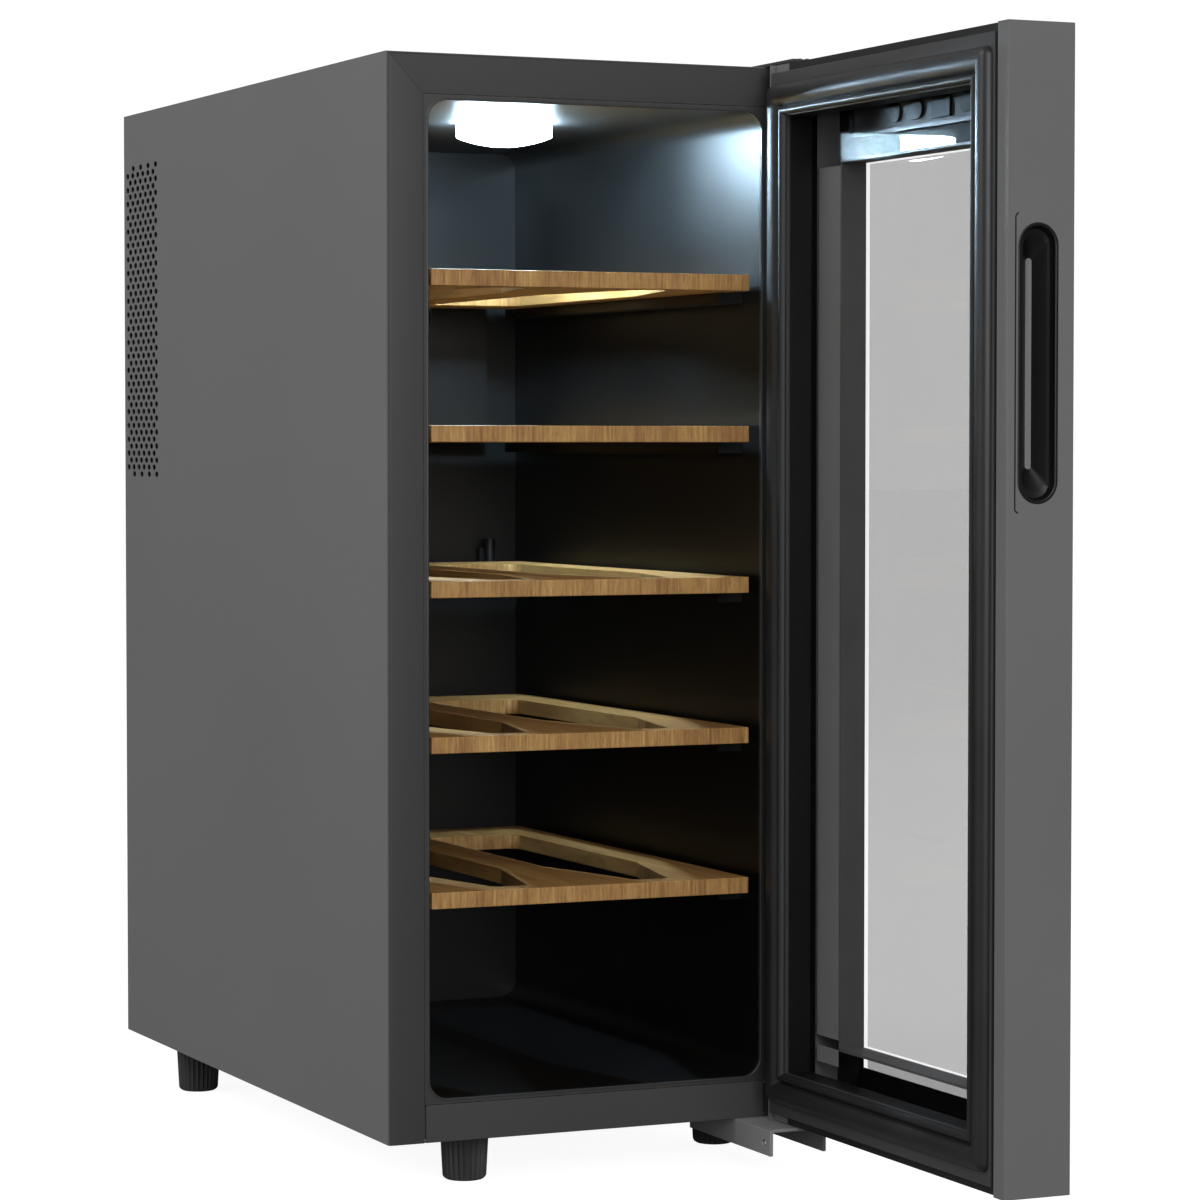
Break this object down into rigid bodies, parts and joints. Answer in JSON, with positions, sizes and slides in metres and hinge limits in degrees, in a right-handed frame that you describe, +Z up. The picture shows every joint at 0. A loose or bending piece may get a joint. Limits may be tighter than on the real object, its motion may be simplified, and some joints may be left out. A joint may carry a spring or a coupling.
{
  "type": "wine cooler",
  "caption": "Slim freestanding thermoelectric wine cooler with a glass door, pull-out wooden shelves, a ceiling lamp and levelling feet, stored with its door open.",
  "frame": {"origin": "on the floor, in the middle of the rectangle that the cooler and its open door take", "axes": "+Z up, +Y from the door side to the back, +X to the right seen from the front; the door stands open at a right angle, its hinge on the right"},
  "size_m": [0.266, 0.7524, 0.6292],
  "materials": {
    "painted_steel": "satin",
    "painted_steel_dark": "satin",
    "painted_steel_black": "satin",
    "galvanised_steel": "satin",
    "bright_steel": "gloss",
    "black_plastic": "satin",
    "white_plastic": "satin",
    "diffuser": "matte",
    "foam": "matte",
    "circuit_board": "satin",
    "aluminium": "satin",
    "grey_aluminium": "satin",
    "ceramic": "matte",
    "wood": "satin",
    "glass": "gloss",
    "rubber": "matte"
  },
  "bodies": {
    "cabinet": {"left_side_panel": "painted_steel", "right_side_panel": "painted_steel", "top_panel": "painted_steel", "bottom_pan": "galvanised_steel", "bottom_trim_rail": "painted_steel_dark", "rear_bulkhead": "galvanised_steel", "back_panel": "painted_steel_black", "inner_liner": "black_plastic", "insulation_foam": "foam", "left_shelf_rails": "black_plastic", "right_shelf_rails": "black_plastic", "lamp_base": "white_plastic", "lamp_board": "circuit_board", "lamp_lens": "diffuser", "cold_fan_cover": "black_plastic", "cold_fan_frame": "black_plastic", "cold_sink": "aluminium", "peltier_module": "ceramic", "hot_sink": "aluminium", "hot_fan_frame": "black_plastic", "control_board": "circuit_board", "power_supply": "circuit_board", "power_inlet": "black_plastic", "temperature_sensor": "black_plastic", "foot_nuts": "bright_steel", "lower_hinge_bracket": "painted_steel_dark", "lower_hinge_pin": "bright_steel", "top_hinge_bracket": "painted_steel_dark", "top_hinge_pin": "bright_steel", "hinge_screws": "bright_steel", "shell_screws": "bright_steel", "fan_screws": "bright_steel"},
    "door": {"door_handle_profile": "grey_aluminium", "door_hinge_profile": "grey_aluminium", "door_top_rail": "black_plastic", "door_bottom_rail": "black_plastic", "handle_insert": "black_plastic", "outer_glass": "glass", "glass_spacer": "aluminium", "inner_glass": "glass", "control_housing": "black_plastic", "display_board": "circuit_board", "door_liner": "black_plastic", "door_gasket": "rubber", "lower_hinge_bush": "white_plastic", "upper_hinge_bush": "white_plastic", "door_screws": "bright_steel"},
    "shelf_board_1": {"shelf_1": "wood"},
    "shelf_board_2": {"shelf_2": "wood"},
    "shelf_board_3": {"shelf_3": "wood"},
    "shelf_board_4": {"shelf_4": "wood"},
    "shelf_board_5": {"shelf_5": "wood"},
    "cold_rotor": {"cold_fan_rotor": "black_plastic"},
    "hot_rotor": {"hot_fan_rotor": "black_plastic"},
    "foot_front_left_body": {"foot_front_left": "black_plastic"},
    "foot_front_right_body": {"foot_front_right": "black_plastic"},
    "foot_rear_left_body": {"foot_rear_left": "black_plastic"},
    "foot_rear_right_body": {"foot_rear_right": "black_plastic"}
  },
  "joints": [
    {"name": "door_hinge", "type": "hinge", "parent": "cabinet", "child": "door", "pos_m": [0.1095, -0.1205, 0.327], "axis": [0, 0, 1], "range_deg": [-90, 20]},
    {"name": "shelf_1_slide", "type": "slide", "parent": "cabinet", "child": "shelf_board_1", "axis": [0, -1, 0], "range_m": [0, 0.26]},
    {"name": "shelf_2_slide", "type": "slide", "parent": "cabinet", "child": "shelf_board_2", "axis": [0, -1, 0], "range_m": [0, 0.26]},
    {"name": "shelf_3_slide", "type": "slide", "parent": "cabinet", "child": "shelf_board_3", "axis": [0, -1, 0], "range_m": [0, 0.26]},
    {"name": "shelf_4_slide", "type": "slide", "parent": "cabinet", "child": "shelf_board_4", "axis": [0, -1, 0], "range_m": [0, 0.26]},
    {"name": "shelf_5_slide", "type": "slide", "parent": "cabinet", "child": "shelf_board_5", "axis": [0, -1, 0], "range_m": [0, 0.26]},
    {"name": "cold_fan_spin", "type": "hinge", "parent": "cabinet", "child": "cold_rotor", "pos_m": [-0.007, 0.249, 0.493], "axis": [0, 1, 0], "continuous": true},
    {"name": "hot_fan_spin", "type": "hinge", "parent": "cabinet", "child": "hot_rotor", "pos_m": [-0.007, 0.339, 0.493], "axis": [0, 1, 0], "continuous": true},
    {"name": "foot_front_left_turn", "type": "hinge", "parent": "cabinet", "child": "foot_front_left_body", "pos_m": [-0.076, -0.069, 0], "axis": [0, 0, 1], "continuous": true},
    {"name": "foot_front_right_turn", "type": "hinge", "parent": "cabinet", "child": "foot_front_right_body", "pos_m": [0.102, -0.024, 0], "axis": [0, 0, 1], "continuous": true},
    {"name": "foot_rear_left_turn", "type": "hinge", "parent": "cabinet", "child": "foot_rear_left_body", "pos_m": [-0.1155, 0.281, 0], "axis": [0, 0, 1], "continuous": true},
    {"name": "foot_rear_right_turn", "type": "hinge", "parent": "cabinet", "child": "foot_rear_right_body", "pos_m": [0.1015, 0.281, 0], "axis": [0, 0, 1], "continuous": true}
  ]
}
